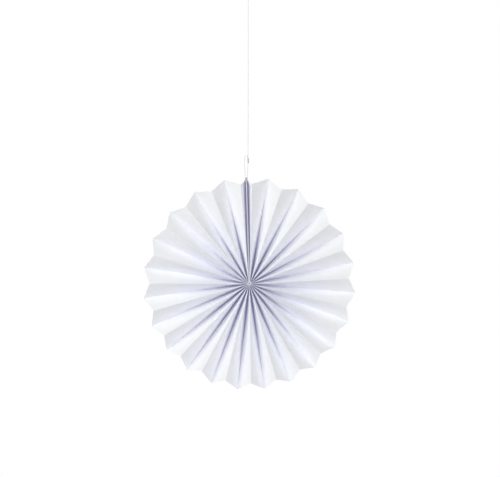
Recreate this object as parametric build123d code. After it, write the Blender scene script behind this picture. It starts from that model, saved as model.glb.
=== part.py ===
from build123d import *
from itertools import pairwise
from math import asin, cos, hypot, pi, radians, sin, sqrt, tan
import os

os.makedirs("parts", exist_ok=True)

# A white paper fan rosette, hung on a thread. A long strip of paper is folded to
# and fro, and its folded stack is cut at a slant, so the back folds are longer than
# the front folds. Each end panel has a stiff card on it. The stack is opened into a
# full circle, and the two cards are taped face to face. A dab of glue holds the inner
# ends of the folds, and a hanging thread is looped through both cards.
# Millimetres. +Z is up and the front looks along -Y. The origin is where the eye of
# the thread bears on its hook.

# Paper
front_fold_radius = 170.0
back_fold_radius = 182.0
rim_depth = 11.5
paper_thickness = 0.15
open_pleats = 22
crowding = 4.85
lower_drift = 0.8
seam_half_angle = 3.2
seam_lean = 1.7
layer_gap = 0.045
bends_per_fold = 8

# End cards and the tape between them
card_thickness = 0.9
tape_thickness = 0.15
tape_width = 20.0
tape_length = 130.0
tape_start = 22.0

# Dab of glue at the hub, with the small blind hole that it leaves
glue_clearance = 0.05
glue_lap = 1.3
glue_crown = 0.9
glue_hole_radius = 0.8
glue_hole_depth = 5.0
glue_plug_length = 6.0

# Hanging hole through the cards
hole_diameter = 3.0
hole_edge_margin = 3.2
hole_depth = 13.2  # level with the fan's own balance point, so that it hangs plumb

# Hanging thread and its knots
thread_diameter = 0.8
hub_to_thread = 1.9
lower_knot_height = 210.0
strand_length = 280.0
knot_length = 9.5
knot_diameter = 3.2
thread_clearance = 0.05
hole_bend_slack = 0.1
thread_end_inset = 1.0
arc_share = 0.45
eye_length = 22.0
eye_top_width = 4.4
eye_foot_offset = 0.9

tube_radius = thread_diameter / 2


# Seam: the two cards with the tape between them, and an end panel on each

panel_offset = tape_thickness / 2 + card_thickness + paper_thickness / 2
seam_half_width = panel_offset + paper_thickness / 2

# Hub: the layers are drawn up until only layer_gap is left between them

folds_between = 2 * open_pleats + 1
layer_pitch = paper_thickness + layer_gap
hub_radius = ((folds_between + 1) * layer_pitch + 2 * seam_half_width) / (2 * pi)
seam_fold_offset = panel_offset + layer_pitch / 2
seam_hub_angle = asin(seam_fold_offset / hub_radius)
hub_step = 2 * (pi - seam_hub_angle) / (folds_between + 1)
crest_width = hub_radius * hub_step

# Panel width: the widest open pleat still lies rim_depth deep at the rim

round_angle = 360 - 2 * seam_half_angle
steepest_spread = round_angle + hypot(2 * pi * crowding, pi * lower_drift)
widest_half_pitch = radians(steepest_spread / (2 * open_pleats))
panel_width = hypot(back_fold_radius * sin(widest_half_pitch), rim_depth)


def polar(radius, angle):
    """Point seen from the front, at an angle clockwise from the top of the seam."""
    return radius * sin(angle), radius * cos(angle)


def rim_angle(share):
    """Angle of a fold at the rim. The pleats opposite the seam crowd together and drift on."""
    turn = 2 * pi * share
    unevenness = crowding * sin(turn) + lower_drift * (1 - cos(turn)) / 2
    return radians(seam_half_angle + round_angle * share + unevenness)


def open_fold(number):
    """Line of one fold from the hub to the rim. Even numbers are front folds."""
    hub_angle = seam_hub_angle + (number + 1) * hub_step
    radius = back_fold_radius if number % 2 else front_fold_radius
    return polar(hub_radius, hub_angle), polar(radius, rim_angle(number / (folds_between - 1)))


def seam_fold(side):
    """Line of the back fold that lies along the outside of an end card."""
    across = side * seam_fold_offset
    return (across, hub_radius), (across, back_fold_radius)


def along(line, share):
    """Point on a line, at a share of the way from the hub to the rim."""
    (start_x, start_z), (end_x, end_z) = line
    return start_x + share * (end_x - start_x), start_z + share * (end_z - start_z)


def distance_to(line, point):
    """Distance of a point from a line, as seen from the front."""
    (start_x, start_z), (end_x, end_z) = line
    run_x, run_z = end_x - start_x, end_z - start_z
    away_x, away_z = point[0] - start_x, point[1] - start_z
    return abs(run_x * away_z - run_z * away_x) / hypot(run_x, run_z)


def back_fold_depth(before, line, after, share):
    """How far a back fold lies behind the front folds beside it."""
    point = along(line, share)
    reach = (distance_to(before, point) + distance_to(after, point)) / 2
    return sqrt(panel_width**2 - reach**2)


def crest(line, share, depth):
    """The two edges of a fold's narrow flat crest, in the order of the strip."""
    (start_x, start_z), (end_x, end_z) = line
    length = hypot(end_x - start_x, end_z - start_z)
    half = crest_width / 2
    step_x = (end_z - start_z) / length * half
    step_z = (start_x - end_x) / length * half
    x, z = along(line, share)
    return [Vector(x - step_x, depth, z - step_z), Vector(x + step_x, depth, z + step_z)]


def free_edge(side, share):
    """The strip's own end, which lies along the front edge of a card."""
    top = hub_radius + share * (front_fold_radius - hub_radius)
    return Vector(side * panel_offset, 0, top)


def strip_section(share):
    """Corners of the folded strip's middle surface, from its right end round to its left."""
    lines = [open_fold(number) for number in range(folds_between)]
    corners = [free_edge(1, share)]
    corners += crest(seam_fold(1), share, panel_width)
    for number, line in enumerate(lines):
        depth = 0
        if number % 2:
            depth = back_fold_depth(lines[number - 1], line, lines[number + 1], share)
        corners += crest(line, share, depth)
    corners += crest(seam_fold(-1), share, panel_width)
    corners.append(free_edge(-1, share))
    return corners


def side_normal(here, ahead, fold_direction):
    """Normal of the strip between two corners of a section."""
    return (ahead - here).cross(fold_direction).normalized()


def offset_section(sections, level):
    """Front and back face of the sheet at one section, with mitred folds."""
    below = sections[max(level - 1, 0)]
    above = sections[min(level + 1, len(sections) - 1)]
    here = sections[level]
    last = len(here) - 1
    fronts, backs = [], []
    for place, corner in enumerate(here):
        fold_direction = (above[place] - below[place]).normalized()
        before = side_normal(here[max(place - 1, 0)], here[max(place, 1)], fold_direction)
        after = side_normal(here[min(place, last - 1)], here[min(place + 1, last)], fold_direction)
        mitre = (before + after) * (paper_thickness / 2 / (1 + before.dot(after)))
        fronts.append(corner + mitre)
        backs.append(corner - mitre)
    return fronts, backs


def triangle(a, b, c):
    return Face(Wire.make_polygon([a, b, c], close=True))


def two_triangles(a, b, c, d):
    return [triangle(a, b, c), triangle(a, c, d)]


def panel_facets(inner, outer, place, leads_back):
    """Two facets of one panel, which meet on a diagonal from the front fold out to the back fold."""
    after = place + 1
    if leads_back:
        return two_triangles(inner[place], inner[after], outer[after], outer[place])
    return two_triangles(inner[after], outer[after], outer[place], inner[place])


def turned_over(facets):
    """The same facets, seen from the other side of the sheet."""
    return [-facet for facet in facets]


def folded_sheet():
    """The whole pleated strip as one solid with flat facets between its bends."""
    shares = [sin(pi / 2 * bend / bends_per_fold) for bend in range(bends_per_fold + 1)]
    sections = [strip_section(share) for share in shares]
    rings = [offset_section(sections, level) for level in range(len(sections))]
    last = len(sections[0]) - 1
    facets = []
    for (inner_front, inner_back), (outer_front, outer_back) in pairwise(rings):
        for place in range(last):
            # Panels lie between pairs of corners, and every second one leads back
            leads_back = place // 2 % 2 == 0
            facets += panel_facets(inner_front, outer_front, place, leads_back)
            facets += turned_over(panel_facets(inner_back, outer_back, place, leads_back))
        facets += two_triangles(inner_back[0], inner_front[0], outer_front[0], outer_back[0])
        facets += two_triangles(inner_front[last], inner_back[last], outer_back[last], outer_front[last])
    for front, back in (rings[0], rings[-1]):
        for place in range(last):
            facets += two_triangles(front[place], front[place + 1], back[place + 1], back[place])
    return Solid(Shell(facets))


# Hanging hole through both cards and the paper on them

hole_share = hole_depth / panel_width
cut_height = front_fold_radius + hole_share * (back_fold_radius - front_fold_radius)
hole_height = cut_height - hole_edge_margin - hole_diameter / 2
hanging_hole = Pos(0, hole_depth, hole_height) * Cylinder(
    hole_diameter / 2, 2 * seam_half_width + 2 * layer_gap, rotation=(0, 90, 0)
)


def end_card(side):
    """Card on one end panel, cut with the paper and so to the same slant."""
    outline = Plane.YZ * make_face(
        Polyline(
            (0, hub_radius),
            (0, front_fold_radius),
            (panel_width, back_fold_radius),
            (panel_width, hub_radius),
            close=True,
        )
    )
    start = side * tape_thickness / 2
    card = Pos(start, 0, 0) * extrude(outline, side * card_thickness)
    return card - hanging_hole


def centre_glue():
    """Plug of glue inside the hub, with a low crown that laps over the front folds."""
    face_level = paper_thickness / 2
    plug_radius = hub_radius - paper_thickness / 2 - glue_clearance
    lap_radius = hub_radius + glue_lap
    crown_radius = (glue_hole_radius + lap_radius) / 2
    sides = Polyline(
        (lap_radius, -face_level),
        (plug_radius, -face_level),
        (plug_radius, glue_plug_length),
        (0, glue_plug_length),
        (0, glue_hole_depth),
        (glue_hole_radius, glue_hole_depth),
        (glue_hole_radius, -face_level),
    )
    crown = ThreePointArc(
        (glue_hole_radius, -face_level),
        (crown_radius, -face_level - glue_crown),
        (lap_radius, -face_level),
    )
    return revolve(make_face(sides + crown), Axis.Y)


# The fan is made with its hub at the origin and its seam upright. Then it leans a
# little on its thread, with the hanging hole level with the thread.

knot_half = knot_length / 2
eye_foot_height = lower_knot_height + strand_length + knot_half
hub_drop = eye_foot_height + eye_length - tube_radius
fan_place = Pos(hub_to_thread, -hole_depth, -hub_drop) * Rot(0, -seam_lean, 0)

fan_pieces = {
    "pleated_paper": folded_sheet() - hanging_hole,
    "end_card_left": end_card(-1),
    "end_card_right": end_card(1),
    "adhesive_strip": Pos(0, panel_width / 2, tape_start + tape_length / 2)
    * Box(tape_thickness, tape_width, tape_length),
    "centre_glue": centre_glue(),
}
pieces = {name: fan_place * piece for name, piece in fan_pieces.items()}


# Hanging thread: every route lies in the plane of the hole, and is given by corners

def seam_point(across, height):
    """Point beside the cards, level with the hole, as the fan hangs."""
    return (fan_place * Pos(across, hole_depth, height)).position


def above_hub(x, height):
    """Point on or beside the thread's upright line."""
    return Vector(x, 0, height - hub_drop)


lower_knot_place = above_hub(0, lower_knot_height)
upper_knot_place = above_hub(0, lower_knot_height + strand_length)
bight = seam_half_width + tube_radius + thread_clearance
hole_bend = bight - hole_bend_slack
thread_height = hole_height + hole_diameter / 2 - hole_bend

hanging_route = [
    seam_point(0, thread_height),
    seam_point(bight, thread_height),
    above_hub(0, lower_knot_height - knot_half),
    upper_knot_place - Vector(0, 0, thread_end_inset),
]
slack_route = [
    seam_point(0, thread_height),
    seam_point(-bight, thread_height),
    above_hub(-5.1, 181),
    above_hub(-5.55, 191),
    above_hub(-6.0, 200),
    above_hub(-6.15, 207),
    above_hub(-6.05, 212),
    above_hub(-5.85, 215),
    above_hub(-5.6, 217),
    above_hub(-4.95, 218.2),
    above_hub(-3.9, 218.8),
    above_hub(-2.65, 218.75),
    above_hub(-1.6, 218),
    above_hub(-1.05, 216.9),
    above_hub(-0.95, 215),
    above_hub(-1.05, 211.5),
]
eye_route = [
    above_hub(-eye_foot_offset, eye_foot_height - knot_half + thread_end_inset),
    above_hub(-1.6, eye_foot_height + 5),
    above_hub(-4.3, eye_foot_height + 12),
    above_hub(-4.6, eye_foot_height + 18),
    above_hub(-eye_top_width / 2, eye_foot_height + eye_length),
    above_hub(eye_top_width / 2, eye_foot_height + eye_length),
    above_hub(4.6, eye_foot_height + 18),
    above_hub(4.3, eye_foot_height + 12),
    above_hub(1.6, eye_foot_height + 5),
    above_hub(eye_foot_offset, eye_foot_height - knot_half + thread_end_inset),
]


def arc_radii(route):
    """Radius at each corner, as large as the two runs beside it allow."""
    radii = []
    for before, corner, after in zip(route, route[1:], route[2:]):
        turn = radians((corner - before).get_angle(after - corner))
        shorter = min((corner - before).length, (after - corner).length)
        radii.append(arc_share * shorter / tan(turn / 2))
    return radii


def thread_tube(name, route, first_bend=None):
    """Thread along a route, with its arcs printed and its volume compared."""
    radii = arc_radii(route)
    if first_bend:
        radii[0] = first_bend
    path = FilletPolyline(*route, radius=radii)
    section = Plane(path @ 0, z_dir=path % 0) * Circle(tube_radius)
    tube = sweep(section, path=path)
    expected = pi * tube_radius**2 * path.length
    print(name, "radii", [round(radius, 2) for radius in radii])
    print(name, "length", round(path.length, 1), "volume share", round(tube.volume / expected, 4))
    return tube


def knot(place):
    """Knot as a plain spindle of its outer shape."""
    top = (tube_radius / 2, knot_half)
    foot = (tube_radius / 2, -knot_half)
    core = Polyline(foot, (0, -knot_half), (0, knot_half), top)
    bulge = ThreePointArc(top, (knot_diameter / 2, 0), foot)
    return Pos(place) * revolve(Plane.XZ * make_face(core + bulge), Axis.Z)


pieces["hanging_thread"] = thread_tube("hanging_thread", hanging_route, hole_bend)
pieces["slack_strand"] = thread_tube("slack_strand", slack_route, hole_bend)
pieces["thread_eye"] = thread_tube("thread_eye", eye_route)
pieces["lower_knot"] = knot(lower_knot_place) - pieces["hanging_thread"] - pieces["slack_strand"]
pieces["upper_knot"] = knot(upper_knot_place) - pieces["hanging_thread"] - pieces["thread_eye"]

print("hub radius", round(hub_radius, 3), "crest", round(crest_width, 3), "panel", round(panel_width, 2))
for name, piece in pieces.items():
    export_step(piece, f"parts/{name}.step")
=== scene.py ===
import math
import bpy
import numpy as np
from mathutils import Matrix, Vector, noise


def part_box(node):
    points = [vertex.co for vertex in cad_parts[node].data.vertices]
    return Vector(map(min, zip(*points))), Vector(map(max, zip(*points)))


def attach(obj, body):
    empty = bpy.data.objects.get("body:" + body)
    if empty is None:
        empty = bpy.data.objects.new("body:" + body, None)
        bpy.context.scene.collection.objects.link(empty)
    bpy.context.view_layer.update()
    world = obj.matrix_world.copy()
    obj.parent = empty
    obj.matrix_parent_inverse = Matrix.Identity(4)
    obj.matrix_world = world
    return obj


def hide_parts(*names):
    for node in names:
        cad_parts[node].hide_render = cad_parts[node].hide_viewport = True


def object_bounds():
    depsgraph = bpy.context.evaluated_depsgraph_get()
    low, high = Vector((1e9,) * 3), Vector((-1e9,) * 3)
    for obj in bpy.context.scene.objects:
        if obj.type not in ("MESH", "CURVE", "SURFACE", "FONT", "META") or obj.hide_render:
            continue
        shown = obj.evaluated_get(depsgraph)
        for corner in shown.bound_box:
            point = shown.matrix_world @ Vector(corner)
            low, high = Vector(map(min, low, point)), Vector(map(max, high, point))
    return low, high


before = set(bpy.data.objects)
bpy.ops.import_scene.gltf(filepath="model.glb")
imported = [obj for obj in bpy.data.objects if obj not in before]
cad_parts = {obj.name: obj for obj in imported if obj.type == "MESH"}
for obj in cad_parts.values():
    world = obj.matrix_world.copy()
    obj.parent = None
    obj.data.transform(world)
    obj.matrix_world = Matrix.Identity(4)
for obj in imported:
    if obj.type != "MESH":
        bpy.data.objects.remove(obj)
cad_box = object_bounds()
mm = 0.001


# The view. The fan is seen square on from about four metres away, so there is hardly
# any perspective. The picture's middle lies above the hub, and its top edge cuts the
# hanging thread just below the upper knot.

picture_width = 500
picture_height = 477
pixel_size = 1.71 * mm
hub_pixel = (249.35, 283.5)
camera_distance = 4.0
sensor_width = 36.0

glue_low, glue_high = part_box("centre_glue")
hub = (glue_low + glue_high) / 2
aim = Vector((
    hub.x + (picture_width / 2 - hub_pixel[0]) * pixel_size,
    0,
    hub.z + (hub_pixel[1] - picture_height / 2) * pixel_size,
))
camera_data = bpy.data.cameras.new("camera")
camera_data.sensor_width = sensor_width
camera_data.lens = sensor_width * camera_distance / (picture_width * pixel_size)
camera = bpy.data.objects.new("camera", camera_data)
camera.location = aim - Vector((0, camera_distance, 0))
camera.rotation_euler = (math.radians(90), 0, 0)
bpy.context.collection.objects.link(camera)
bpy.context.scene.camera = camera


# Hanging thread. White sewing cotton of three plies, twisted together. One length is
# passed through the hole in the cards and knotted above the fan, and it ends in an eye
# for a hook. The lower loop's other side hangs slack and swings over into the knot.

thread_diameter = 0.8 * mm
ply_count = 3
ply_pitch = 2.6 * mm
ply_sides = 6
steps_per_turn = 9
ply_radius = thread_diameter / 2 / (1 + 2 / math.sqrt(3))
ply_offset = thread_diameter / 2 - ply_radius

seam_lean = 1.7
front_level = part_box("end_card_left")[0].y
hole_depth = 13.2
thread_height = 170.62
bight = 1.575
fan_place = Matrix.Translation((hub.x, front_level, hub.z)) @ Matrix.Rotation(
    math.radians(-seam_lean), 4, "Y"
)


def beside_cards(across, height):
    """Point beside the cards, level with the hole, as the fan hangs. Millimetres."""
    return fan_place @ (Vector((across, hole_depth, height)) * mm)


def above_hub(x, height):
    """Point on or beside the thread's upright line. Millimetres."""
    return Vector((x * mm, 0, hub.z + height * mm))


lower_knot_height = 210
upper_knot_height = 490
hanging_route = [
    beside_cards(0, thread_height),
    beside_cards(bight, thread_height),
    beside_cards(bight, thread_height + 6),
    above_hub(0, 205.25),
    above_hub(0, 489),
]
slack_route = [
    beside_cards(0, thread_height),
    beside_cards(-bight, thread_height),
    above_hub(-5.1, 181),
    above_hub(-5.55, 191),
    above_hub(-6.0, 200),
    above_hub(-6.15, 207),
    above_hub(-6.05, 212),
    above_hub(-5.85, 215),
    above_hub(-5.6, 217),
    above_hub(-4.95, 218.2),
    above_hub(-3.9, 218.8),
    above_hub(-2.65, 218.75),
    above_hub(-1.6, 218),
    above_hub(-1.05, 216.9),
    above_hub(-0.95, 215),
    above_hub(-1.05, 211.5),
]
eye_route = [
    above_hub(-0.9, 491),
    above_hub(-1.6, 499.75),
    above_hub(-4.3, 506.75),
    above_hub(-4.6, 512.75),
    above_hub(-2.2, 516.75),
    above_hub(2.2, 516.75),
    above_hub(4.6, 512.75),
    above_hub(4.3, 506.75),
    above_hub(1.6, 499.75),
    above_hub(0.9, 491),
]


def linear(code):
    """Linear colour of an sRGB hex code."""
    channels = [int(code[place:place + 2], 16) / 255 for place in (1, 3, 5)]
    return [c / 12.92 if c <= 0.04045 else ((c + 0.055) / 1.055) ** 2.4 for c in channels] + [1]


def add_node(tree, kind, inputs, **settings):
    """One shader node with its settings, and with its inputs set or linked."""
    node = tree.nodes.new(kind)
    for name, value in settings.items():
        setattr(node, name, value)
    for name, value in inputs.items():
        if isinstance(value, bpy.types.NodeSocket):
            tree.links.new(value, node.inputs[name])
        else:
            node.inputs[name].default_value = value
    return node


def empty_material(name):
    """A new material, with no nodes in it yet."""
    material = bpy.data.materials.new(name)
    material.use_nodes = True
    material.node_tree.nodes.clear()
    return material


fibre_spacing = 0.12 * mm


def cotton_thread():
    """Bleached cotton: matt, with a soft sheen and short fibres that lie every way."""
    material = empty_material("cotton_thread")
    tree = material.node_tree
    place = add_node(tree, "ShaderNodeTexCoord", {}).outputs["Object"]
    fibres = add_node(tree, "ShaderNodeTexNoise", {
        "Vector": place, "Scale": 1 / fibre_spacing, "Detail": 3.0,
    })
    tint = add_node(tree, "ShaderNodeMix", {
        "Factor": fibres.outputs["Fac"], "A": linear("#DADADF"), "B": linear("#F4F4F6"),
    }, data_type="RGBA")
    bump = add_node(tree, "ShaderNodeBump", {
        "Height": fibres.outputs["Fac"], "Strength": 0.5, "Distance": 0.05 * mm,
    })
    shader = add_node(tree, "ShaderNodeBsdfPrincipled", {
        "Base Color": tint.outputs["Result"],
        "Roughness": 0.85,
        "Sheen Weight": 0.3,
        "Normal": bump.outputs["Normal"],
    })
    add_node(tree, "ShaderNodeOutputMaterial", {"Surface": shader.outputs["BSDF"]})
    return material


points_per_span = 16


def centreline(corners):
    """Points down the middle of a thread, read from its NURBS spline."""
    curve = bpy.data.curves.new("route", "CURVE")
    curve.dimensions = "3D"
    curve.resolution_u = points_per_span
    spline = curve.splines.new("NURBS")
    spline.points.add(len(corners) - 1)
    for point, corner in zip(spline.points, corners):
        point.co = (*corner, 1)
    spline.order_u = 3
    spline.use_endpoint_u = True
    holder = bpy.data.objects.new("route", curve)
    mesh = bpy.data.meshes.new_from_object(holder)
    line = np.array([vertex.co for vertex in mesh.vertices])
    bpy.data.meshes.remove(mesh)
    bpy.data.curves.remove(curve)
    return line


def evenly_spaced(line, step):
    """The line again, with points about one step apart."""
    along = np.concatenate([[0], np.cumsum(np.linalg.norm(np.diff(line, axis=0), axis=1))])
    places = np.linspace(0, along[-1], math.ceil(along[-1] / step) + 1)
    return np.stack([np.interp(places, along, line[:, axis]) for axis in range(3)], axis=1)


def twisted_plies(line):
    """Points and faces of the plies that wind round a line, each a closed tube."""
    path = evenly_spaced(line, ply_pitch / steps_per_turn)
    points, faces = [], []
    for ply in range(ply_count):
        first = len(points)
        side = Vector((0, 1, 0))
        for step, spot in enumerate(path):
            ahead, behind = path[min(step + 1, len(path) - 1)], path[max(step - 1, 0)]
            run = Vector(ahead - behind).normalized()
            side = (side - run * side.dot(run)).normalized()
            other = run.cross(side)
            wind = math.tau * (step / steps_per_turn + ply / ply_count)
            middle = Vector(spot) + (side * math.cos(wind) + other * math.sin(wind)) * ply_offset
            for corner in range(ply_sides):
                turn = math.tau * corner / ply_sides + wind
                outward = side * math.cos(turn) + other * math.sin(turn)
                points.append(middle + outward * ply_radius)
        for step in range(len(path) - 1):
            ring = first + step * ply_sides
            for corner in range(ply_sides):
                after = (corner + 1) % ply_sides
                above = ring + ply_sides
                faces.append((ring + corner, ring + after, above + after, above + corner))
        last = first + (len(path) - 1) * ply_sides
        faces.append(tuple(first + corner for corner in reversed(range(ply_sides))))
        faces.append(tuple(last + corner for corner in range(ply_sides)))
    return points, faces


def mesh_piece(name, points, faces, material):
    """A smooth mesh that rides on the part, with the material it is given."""
    mesh = bpy.data.meshes.new(name)
    mesh.from_pydata([tuple(point) for point in points], [], faces)
    mesh.materials.append(material)
    mesh.shade_smooth()
    piece = bpy.data.objects.new(name, mesh)
    bpy.context.collection.objects.link(piece)
    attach(piece, "root")
    return piece


thread_material = cotton_thread()
for name, route in (
    ("hanging_thread", hanging_route), ("slack_strand", slack_route), ("thread_eye", eye_route)
):
    line = centreline(route)
    points, faces = twisted_plies(line)
    piece = mesh_piece(name + "_plies", points, faces, thread_material)
    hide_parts(name)


# Knots. Each is the same cotton, tied as a barrel: the thread is wound round itself in
# close turns and pulled through them. They are wound here as one coil that swells in
# the middle, with the thread running on through it.

knot_length = 9.2 * mm
knot_diameter = 3.2 * mm
knot_turns = 9
knot_steps = 260
knot_end_share = 0.35

for name, height in (("lower_knot", lower_knot_height), ("upper_knot", upper_knot_height)):
    middle = above_hub(0, height)
    winding = []
    for step in range(knot_steps + 1):
        share = step / knot_steps
        swell = math.sqrt(math.sin(math.pi * share))
        fullness = knot_end_share + (1 - knot_end_share) * swell
        radius = (knot_diameter - thread_diameter) / 2 * fullness
        turn = math.tau * knot_turns * share
        rise = (share - 0.5) * (knot_length - thread_diameter)
        winding.append(middle + Vector((radius * math.cos(turn), radius * math.sin(turn), rise)))
    points, faces = twisted_plies(np.array(winding))
    mesh_piece(name + "_turns", points, faces, thread_material)
    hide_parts(name)


# Pleated paper. One strip of white 120 g drawing paper, folded to and fro, its folded
# stack cut at a slant with a guillotine, and opened into a circle. Each panel bulges
# into its front groove, so the grooves close to narrow slits at their back folds.

front_fold_radius = 170 * mm
back_fold_radius = 182 * mm
rim_depth = 11.5 * mm
paper_thickness = 0.15 * mm
card_thickness = 0.9 * mm
tape_thickness = 0.15 * mm
open_pleats = 22
crowding = 4.85
lower_drift = 0.8
seam_half_angle = 3.2
layer_gap = 0.045 * mm

bends = 44
panel_steps = 8
crest_steps = 6
crest_radius = 0.45 * mm
crest_share = 0.13
valley_radius = 0.12 * mm
valley_pinch = 30
pinch_share = 0.9
pinch_power = 5
rim_pinch_share = 0.3
tightest_angle = 25
loosening = 0.97
tightness_power = 3.2
seam_grip = 0.7
panel_bow = 0.4 * mm
paper_wave = 0.25 * mm
wave_length = 55 * mm
bow_seed = 7
sharp_angle = 50

panel_offset = tape_thickness / 2 + card_thickness + paper_thickness / 2
seam_half_width = panel_offset + paper_thickness / 2
folds_between = 2 * open_pleats + 1
layer_pitch = paper_thickness + layer_gap
hub_radius = ((folds_between + 1) * layer_pitch + 2 * seam_half_width) / math.tau
seam_fold_offset = panel_offset + layer_pitch / 2
seam_hub_angle = math.asin(seam_fold_offset / hub_radius)
hub_step = 2 * (math.pi - seam_hub_angle) / (folds_between + 1)
crest_half = hub_radius * hub_step / 2
round_angle = 360 - 2 * seam_half_angle
steepest_spread = round_angle + math.hypot(math.tau * crowding, math.pi * lower_drift)
widest_half_pitch = math.radians(steepest_spread / (2 * open_pleats))
panel_width = math.hypot(back_fold_radius * math.sin(widest_half_pitch), rim_depth)


def fold_ends():
    """Inner and outer end of every fold, clockwise from right of the seam to left of it."""
    inner = [(seam_fold_offset, hub_radius)]
    outer = [(seam_fold_offset, back_fold_radius)]
    for number in range(folds_between):
        at_hub = seam_hub_angle + (number + 1) * hub_step
        share = number / (folds_between - 1)
        turn = math.tau * share
        unevenness = crowding * math.sin(turn) + lower_drift * (1 - math.cos(turn)) / 2
        at_rim = math.radians(seam_half_angle + round_angle * share + unevenness)
        radius = back_fold_radius if number % 2 else front_fold_radius
        inner.append((hub_radius * math.sin(at_hub), hub_radius * math.cos(at_hub)))
        outer.append((radius * math.sin(at_rim), radius * math.cos(at_rim)))
    inner.append((-seam_fold_offset, hub_radius))
    outer.append((-seam_fold_offset, back_fold_radius))
    return np.array(inner), np.array(outer)


def fold_runs(inner, outer):
    """Way that every fold runs from the hub to the rim, as unit vectors."""
    runs = outer - inner
    return runs / np.linalg.norm(runs, axis=1)[:, None]


def fold_depths(inner, outer, share):
    """How far back every fold lies at one share of the way to the rim."""
    at = inner + share * (outer - inner)
    runs = fold_runs(inner, outer)
    depths = np.zeros(len(at))
    depths[[0, -1]] = panel_width
    for fold in range(2, len(at) - 1, 2):
        reach = 0
        for beside in (fold - 1, fold + 1):
            away = at[fold] - inner[beside]
            reach += abs(runs[beside][0] * away[1] - runs[beside][1] * away[0]) / 2
        depths[fold] = math.sqrt(panel_width**2 - reach**2)
    return at, depths


def rounded_crease(fold, at, depths, runs, radius):
    """Points over one fold, on an arc that leaves along the panels on both sides."""
    beside = at[fold + 1] - at[fold - 1] if 0 < fold < len(at) - 1 else np.array([0, 0])
    rise = 2 * panel_width if not beside.any() else (
        abs(depths[fold + 1] - depths[fold]) + abs(depths[fold - 1] - depths[fold])
    )
    bend_angle = math.atan2(rise, np.linalg.norm(beside))
    outward = 1 if depths[fold] else -1
    crease = []
    for step in range(crest_steps + 1):
        turn = bend_angle * (2 * step / crest_steps - 1)
        aside = radius * math.sin(turn)
        crease.append(Vector((
            at[fold][0] + aside * runs[fold][1],
            depths[fold] + outward * radius * (math.cos(turn) - 1),
            at[fold][1] - aside * runs[fold][0],
        )))
    return crease


def paper_section(inner, outer, share, bows):
    """Middle of the sheet at one share of the way to the rim, creases rounded, panels curved."""
    at, depths = fold_depths(inner, outer, share)
    runs = fold_runs(inner, outer)
    from_hub = hub_radius + share * (front_fold_radius - hub_radius)
    half_pitch = math.pi * from_hub / (folds_between + 1)
    front_radius = max(crest_half, min(crest_radius, crest_share * 2 * half_pitch))
    back_radius = max(crest_half, min(valley_radius, crest_share * half_pitch))
    creases = [[Vector((panel_offset, 0, from_hub))]]
    for fold in range(len(at)):
        radius = front_radius if fold % 2 else back_radius
        creases.append(rounded_crease(fold, at, depths, runs, radius))
    creases.append([Vector((-panel_offset, 0, from_hub))])
    section = []
    for panel, (crease, after) in enumerate(zip(creases, creases[1:])):
        section += crease
        start, end = crease[-1], after[0]
        across = end - start
        glued = panel in (0, len(creases) - 2)
        pinch = bow = 0
        if not glued:
            run = runs[panel - 1] + runs[panel]
            lift = across.cross(Vector((run[0], 0, run[1]))).normalized()
            opening = math.atan2(math.hypot(across.x, across.z), abs(across.y))
            clock = math.atan2(run[0], run[1])
            tightness = abs(math.cos(clock - math.radians(tightest_angle)))
            most = math.radians(valley_pinch) * (1 - (1 - rim_pinch_share) * share**3)
            most *= 1 - loosening * (1 - tightness**tightness_power)
            turned = most * math.tanh(pinch_share * opening / most)
            pinch = turned * across.length / (pinch_power + 1)
            bow = bows[panel] * share
        for step in range(1, panel_steps):
            way = step / panel_steps
            spot = start + across * way
            if not glued:
                down = way if end.y > start.y else 1 - way
                if panel in (1, len(creases) - 3):
                    leaning = math.hypot(across.x, across.z) * (1 - down)
                    spot += lift * leaning * (1 - math.exp(-seam_grip * down))
                else:
                    bulge = pinch * (down - down ** (pinch_power + 1))
                    spot += lift * (bulge + bow * math.sin(math.pi * way))
            section.append(spot)
    return section + creases[-1]


def sheet_sides(middle, thickness):
    """Both faces of a sheet of even thickness, mitred at its folds."""
    ahead = np.gradient(middle, axis=0)
    ahead = (ahead[:, 1:] + ahead[:, :-1]) / 2
    normals = np.cross(np.diff(middle, axis=1), ahead)
    normals /= np.linalg.norm(normals, axis=2)[:, :, None]
    before = np.concatenate([normals[:, :1], normals], axis=1)
    after = np.concatenate([normals, normals[:, -1:]], axis=1)
    dots = (before * after).sum(axis=2)[:, :, None]
    mitre = (before + after) * (thickness / 2) / (1 + dots)
    return middle + mitre, middle - mitre


inner, outer = fold_ends()
bows = np.random.default_rng(bow_seed).uniform(-panel_bow, panel_bow, len(inner) + 1)
bows[[0, -1]] = 0
shares = [math.sin(math.pi / 2 * bend / bends) for bend in range(bends + 1)]
middle = np.array([paper_section(inner, outer, share, bows) for share in shares])
for bend, share in enumerate(shares):
    for column, spot in enumerate(middle[bend]):
        if abs(spot[0]) > seam_half_width or spot[2] < 0:
            swell = noise.noise(Vector(spot) / wave_length)
            middle[bend, column, 1] += paper_wave * share**2 * swell
fronts, backs = sheet_sides(middle, paper_thickness)
stations, columns = middle.shape[:2]
points = [fan_place @ Vector(spot) for spot in np.concatenate([fronts, backs]).reshape(-1, 3)]
faces = []
for row in range(stations - 1):
    for column in range(columns - 1):
        here = row * columns + column
        under = here + stations * columns
        faces.append((here, here + 1, here + columns + 1, here + columns))
        faces.append((under, under + columns, under + columns + 1, under + 1))
for column in (0, columns - 1):
    for row in range(stations - 1):
        here = row * columns + column
        under = here + stations * columns
        faces.append((under, here, here + columns, under + columns))
        if column:
            faces[-1] = faces[-1][::-1]
for row in (0, stations - 1):
    for column in range(columns - 1):
        here = row * columns + column
        under = here + stations * columns
        faces.append((here, here + 1, under + 1, under))
        if not row:
            faces[-1] = faces[-1][::-1]


cloud_size = 9 * mm
felt_grain = 0.7 * mm


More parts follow.
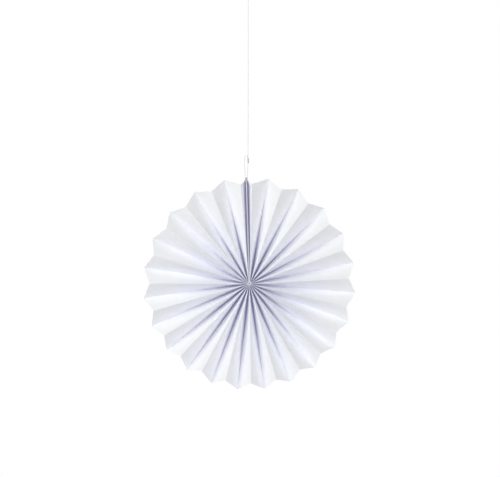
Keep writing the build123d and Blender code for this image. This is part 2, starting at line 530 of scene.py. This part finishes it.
def drawing_paper():
    """Uncoated white paper: dull and cool, with a felt-like grain and faint clouds."""
    # The faint glow stands in for the light that deep folds hand on to each other, which
    # a render with few bounces cuts off.
    material = empty_material("drawing_paper")
    tree = material.node_tree
    place = add_node(tree, "ShaderNodeTexCoord", {}).outputs["Object"]
    clouds = add_node(tree, "ShaderNodeTexNoise", {
        "Vector": place, "Scale": 1 / cloud_size, "Detail": 4.0,
    })
    felt = add_node(tree, "ShaderNodeTexNoise", {
        "Vector": place, "Scale": 1 / felt_grain, "Detail": 4.0,
    })
    tint = add_node(tree, "ShaderNodeMix", {
        "Factor": clouds.outputs["Fac"], "A": linear("#F0F2FB"), "B": linear("#F6F8FF"),
    }, data_type="RGBA")
    bump = add_node(tree, "ShaderNodeBump", {
        "Height": felt.outputs["Fac"], "Strength": 0.4, "Distance": 0.05 * mm,
    })
    shader = add_node(tree, "ShaderNodeBsdfPrincipled", {
        "Base Color": tint.outputs["Result"],
        "Roughness": 0.9,
        "Specular IOR Level": 0.3,
        "Emission Color": linear("#CEC6FF"),
        "Emission Strength": 0.038,
        "Normal": bump.outputs["Normal"],
    })
    add_node(tree, "ShaderNodeOutputMaterial", {"Surface": shader.outputs["BSDF"]})
    return material


paper_piece = mesh_piece("pleated_paper_sheet", points, faces, drawing_paper())
paper_piece.data.set_sharp_from_angle(angle=math.radians(sharp_angle))
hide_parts("pleated_paper")


# End cards. Two strips of white card, one under each end panel of the paper. They keep
# the seam straight and carry the hanging hole, and their cut front edges show as a pale
# line between two dark slits.

card_grain = 0.4 * mm


def white_card():
    """Pressed card with a finer, flatter surface; its greyer, lilac colour is painted shade for
    the shadowed seam.
    """
    material = empty_material("white_card")
    tree = material.node_tree
    place = add_node(tree, "ShaderNodeTexCoord", {}).outputs["Object"]
    layers = add_node(tree, "ShaderNodeTexNoise", {
        "Vector": place, "Scale": 1 / card_grain, "Detail": 3.0,
    })
    # Painted shade: the grey-lilac card colour stands in for the shadow in the seam.
    tint = add_node(tree, "ShaderNodeMix", {
        "Factor": layers.outputs["Fac"], "A": linear("#C6CBDD"), "B": linear("#D3D7E7"),
    }, data_type="RGBA")
    bump = add_node(tree, "ShaderNodeBump", {
        "Height": layers.outputs["Fac"], "Strength": 0.3, "Distance": 0.04 * mm,
    })
    shader = add_node(tree, "ShaderNodeBsdfPrincipled", {
        "Base Color": tint.outputs["Result"],
        "Roughness": 0.8,
        "Normal": bump.outputs["Normal"],
    })
    add_node(tree, "ShaderNodeOutputMaterial", {"Surface": shader.outputs["BSDF"]})
    return material


def finish_node(name, material):
    """Gives a piece of the frame its finish, and leaves its shape alone."""
    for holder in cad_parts[name].material_slots:
        holder.material = material


card_material = white_card()
for name in ("end_card_left", "end_card_right"):
    finish_node(name, card_material)


# Adhesive strip. Double-sided tape that holds the two cards face to face. It is hidden
# between them, apart from its thin edges.

tissue_grain = 1.5 * mm


def double_sided_tape():
    """Tissue tape with clear acrylic adhesive: milky, and glossier than the paper."""
    material = empty_material("double_sided_tape")
    tree = material.node_tree
    place = add_node(tree, "ShaderNodeTexCoord", {}).outputs["Object"]
    tissue = add_node(tree, "ShaderNodeTexNoise", {
        "Vector": place, "Scale": 1 / tissue_grain, "Detail": 3.0,
    })
    tint = add_node(tree, "ShaderNodeMix", {
        "Factor": tissue.outputs["Fac"], "A": linear("#E4E1D6"), "B": linear("#EFEDE4"),
    }, data_type="RGBA")
    shader = add_node(tree, "ShaderNodeBsdfPrincipled", {
        "Base Color": tint.outputs["Result"], "Roughness": 0.35,
    })
    add_node(tree, "ShaderNodeOutputMaterial", {"Surface": shader.outputs["BSDF"]})
    return material


finish_node("adhesive_strip", double_sided_tape())


# Centre glue. A dab of hot-melt glue that was pressed into the hub and grips the inner
# ends of all the folds. It set as a low, uneven button with a small blind hole.

glue_hole_radius = 0.8 * mm
glue_lap = 1.3 * mm
glue_clearance = 0.05 * mm
glue_lap_radius = hub_radius + glue_lap
glue_plug_radius = hub_radius - paper_thickness / 2 - glue_clearance
glue_crown = 0.9 * mm
glue_depth = 6 * mm
glue_hole_depth = 5 * mm
glue_segments = 48
crown_steps = 8
glue_unevenness = 0.06 * mm
glue_lump_size = 1.2 * mm

face_level = paper_thickness / 2
crown_radius = (glue_hole_radius + glue_lap_radius) / 2
crown_half_width = (glue_lap_radius - glue_hole_radius) / 2
outline = [(glue_hole_radius, glue_hole_depth)]
for step in range(crown_steps + 1):
    turn = math.pi * step / crown_steps
    outline.append((
        crown_radius - crown_half_width * math.cos(turn),
        -face_level - glue_crown * math.sin(turn),
    ))
outline += [(glue_plug_radius, -face_level), (glue_plug_radius, glue_depth)]

glue_points, glue_faces = [], []
for segment in range(glue_segments):
    turn = math.tau * segment / glue_segments
    first = segment * len(outline)
    beside = (segment + 1) % glue_segments * len(outline)
    for step, (radius, depth) in enumerate(outline):
        spot = Vector((radius * math.sin(turn), depth, radius * math.cos(turn)))
        if 1 < step <= crown_steps:
            spot.y -= glue_unevenness * noise.noise(spot / glue_lump_size)
        glue_points.append(fan_place @ spot)
    for step in range(len(outline) - 1):
        glue_faces.append((first + step, beside + step, beside + step + 1, first + step + 1))
rings = [range(place, len(glue_points), len(outline)) for place in (0, len(outline) - 1)]
glue_faces += [tuple(reversed(rings[0])), tuple(rings[1])]


haze_size = 1.0 * mm


def hot_glue():
    """Set hot-melt glue: milky, waxy and faintly shiny."""
    material = empty_material("hot_glue")
    tree = material.node_tree
    place = add_node(tree, "ShaderNodeTexCoord", {}).outputs["Object"]
    haze = add_node(tree, "ShaderNodeTexNoise", {
        "Vector": place, "Scale": 1 / haze_size, "Detail": 2.0,
    })
    tint = add_node(tree, "ShaderNodeMix", {
        "Factor": haze.outputs["Fac"], "A": linear("#D7D6EE"), "B": linear("#E1E0F5"),
    }, data_type="RGBA")
    shader = add_node(tree, "ShaderNodeBsdfPrincipled", {
        "Base Color": tint.outputs["Result"], "Roughness": 0.4,
    })
    add_node(tree, "ShaderNodeOutputMaterial", {"Surface": shader.outputs["BSDF"]})
    return material


glue_piece = mesh_piece("centre_glue_button", glue_points, glue_faces, hot_glue())
glue_piece.data.set_sharp_from_angle(angle=math.radians(sharp_angle))
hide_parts("centre_glue")


# Studio. Soft white lamps at the upper left, at the front and at the right, two more
# behind the fan, and an even room light. The floor is pale, and clear from beneath, and
# the background is white.

floor_drop = 250 * mm
floor_radius = 0.85
floor_sides = 96
fade_start = 0.3
lamp_distance = 3.0
lamp_size = 1.6
full_level_power = math.pi**2 * lamp_distance**2
lamps = (
    ("key_lamp", 300, 35, 0.50, "#FFFFF3"),
    ("front_lamp", 285, 65, 0.16, "#FFFFF3"),
    ("side_lamp", 90, 50, 0.34, "#FFFFF3"),
    ("rear_key_lamp", 60, -35, 0.45, "#FFFFF3"),
    ("rear_side_lamp", 275, -60, 0.38, "#FFFFF3"),
)
room_colour = "#FFFFFC"
room_strength = 0.225

bpy.ops.mesh.primitive_circle_add(
    vertices=floor_sides, radius=floor_radius, fill_type="NGON",
    location=(hub.x, 0, cad_box[0].z - floor_drop),
)
floor = bpy.context.object
floor.name = "floor"
floor_material = empty_material("pale_floor")
tree = floor_material.node_tree
place = add_node(tree, "ShaderNodeTexCoord", {}).outputs["Object"]
away = add_node(
    tree, "ShaderNodeVectorMath", {"Vector": place}, operation="LENGTH"
).outputs["Value"]
fade = add_node(tree, "ShaderNodeMapRange", {
    "Value": away, "From Min": fade_start * floor_radius, "From Max": floor_radius,
    "To Min": 0.0, "To Max": 1.0,
})
underside = add_node(tree, "ShaderNodeNewGeometry", {}).outputs["Backfacing"]
clearness = add_node(
    tree, "ShaderNodeMath", {0: fade.outputs["Result"], 1: underside}, operation="MAXIMUM"
)
shader = add_node(tree, "ShaderNodeBsdfPrincipled", {
    "Base Color": linear("#F0F0FA"), "Roughness": 0.9,
})
clear = add_node(tree, "ShaderNodeBsdfTransparent", {})
mixed = add_node(tree, "ShaderNodeMixShader", {
    0: clearness.outputs["Value"], 1: shader.outputs["BSDF"], 2: clear.outputs["BSDF"],
})
add_node(tree, "ShaderNodeOutputMaterial", {"Surface": mixed.outputs["Shader"]})
floor.data.materials.append(floor_material)

for name, clock_angle, frontal_angle, level, colour in lamps:
    clock, frontal = math.radians(clock_angle), math.radians(frontal_angle)
    towards_lamp = Vector((
        math.sin(clock) * math.cos(frontal),
        -math.sin(frontal),
        math.cos(clock) * math.cos(frontal),
    ))
    lamp_data = bpy.data.lights.new(name, "AREA")
    lamp_data.shape = "DISK"
    lamp_data.size = lamp_size
    lamp_data.energy = level * full_level_power
    lamp_data.color = linear(colour)[:3]
    lamp = bpy.data.objects.new(name, lamp_data)
    lamp.location = hub + towards_lamp * lamp_distance
    lamp.rotation_euler = towards_lamp.to_track_quat("Z", "Y").to_euler()
    bpy.context.collection.objects.link(lamp)

world = bpy.data.worlds.new("studio")
world.use_nodes = True
tree = world.node_tree
tree.nodes.clear()
seen = add_node(tree, "ShaderNodeLightPath", {}).outputs["Is Camera Ray"]
room = add_node(tree, "ShaderNodeBackground", {
    "Color": linear(room_colour), "Strength": room_strength,
})
backdrop = add_node(tree, "ShaderNodeBackground", {"Color": linear("#FFFFFF"), "Strength": 1.0})
mixed = add_node(tree, "ShaderNodeMixShader", {
    0: seen, 1: room.outputs["Background"], 2: backdrop.outputs["Background"],
})
add_node(tree, "ShaderNodeOutputWorld", {"Surface": mixed.outputs["Shader"]})
bpy.context.scene.world = world

bpy.context.scene.view_settings.view_transform = "Standard"
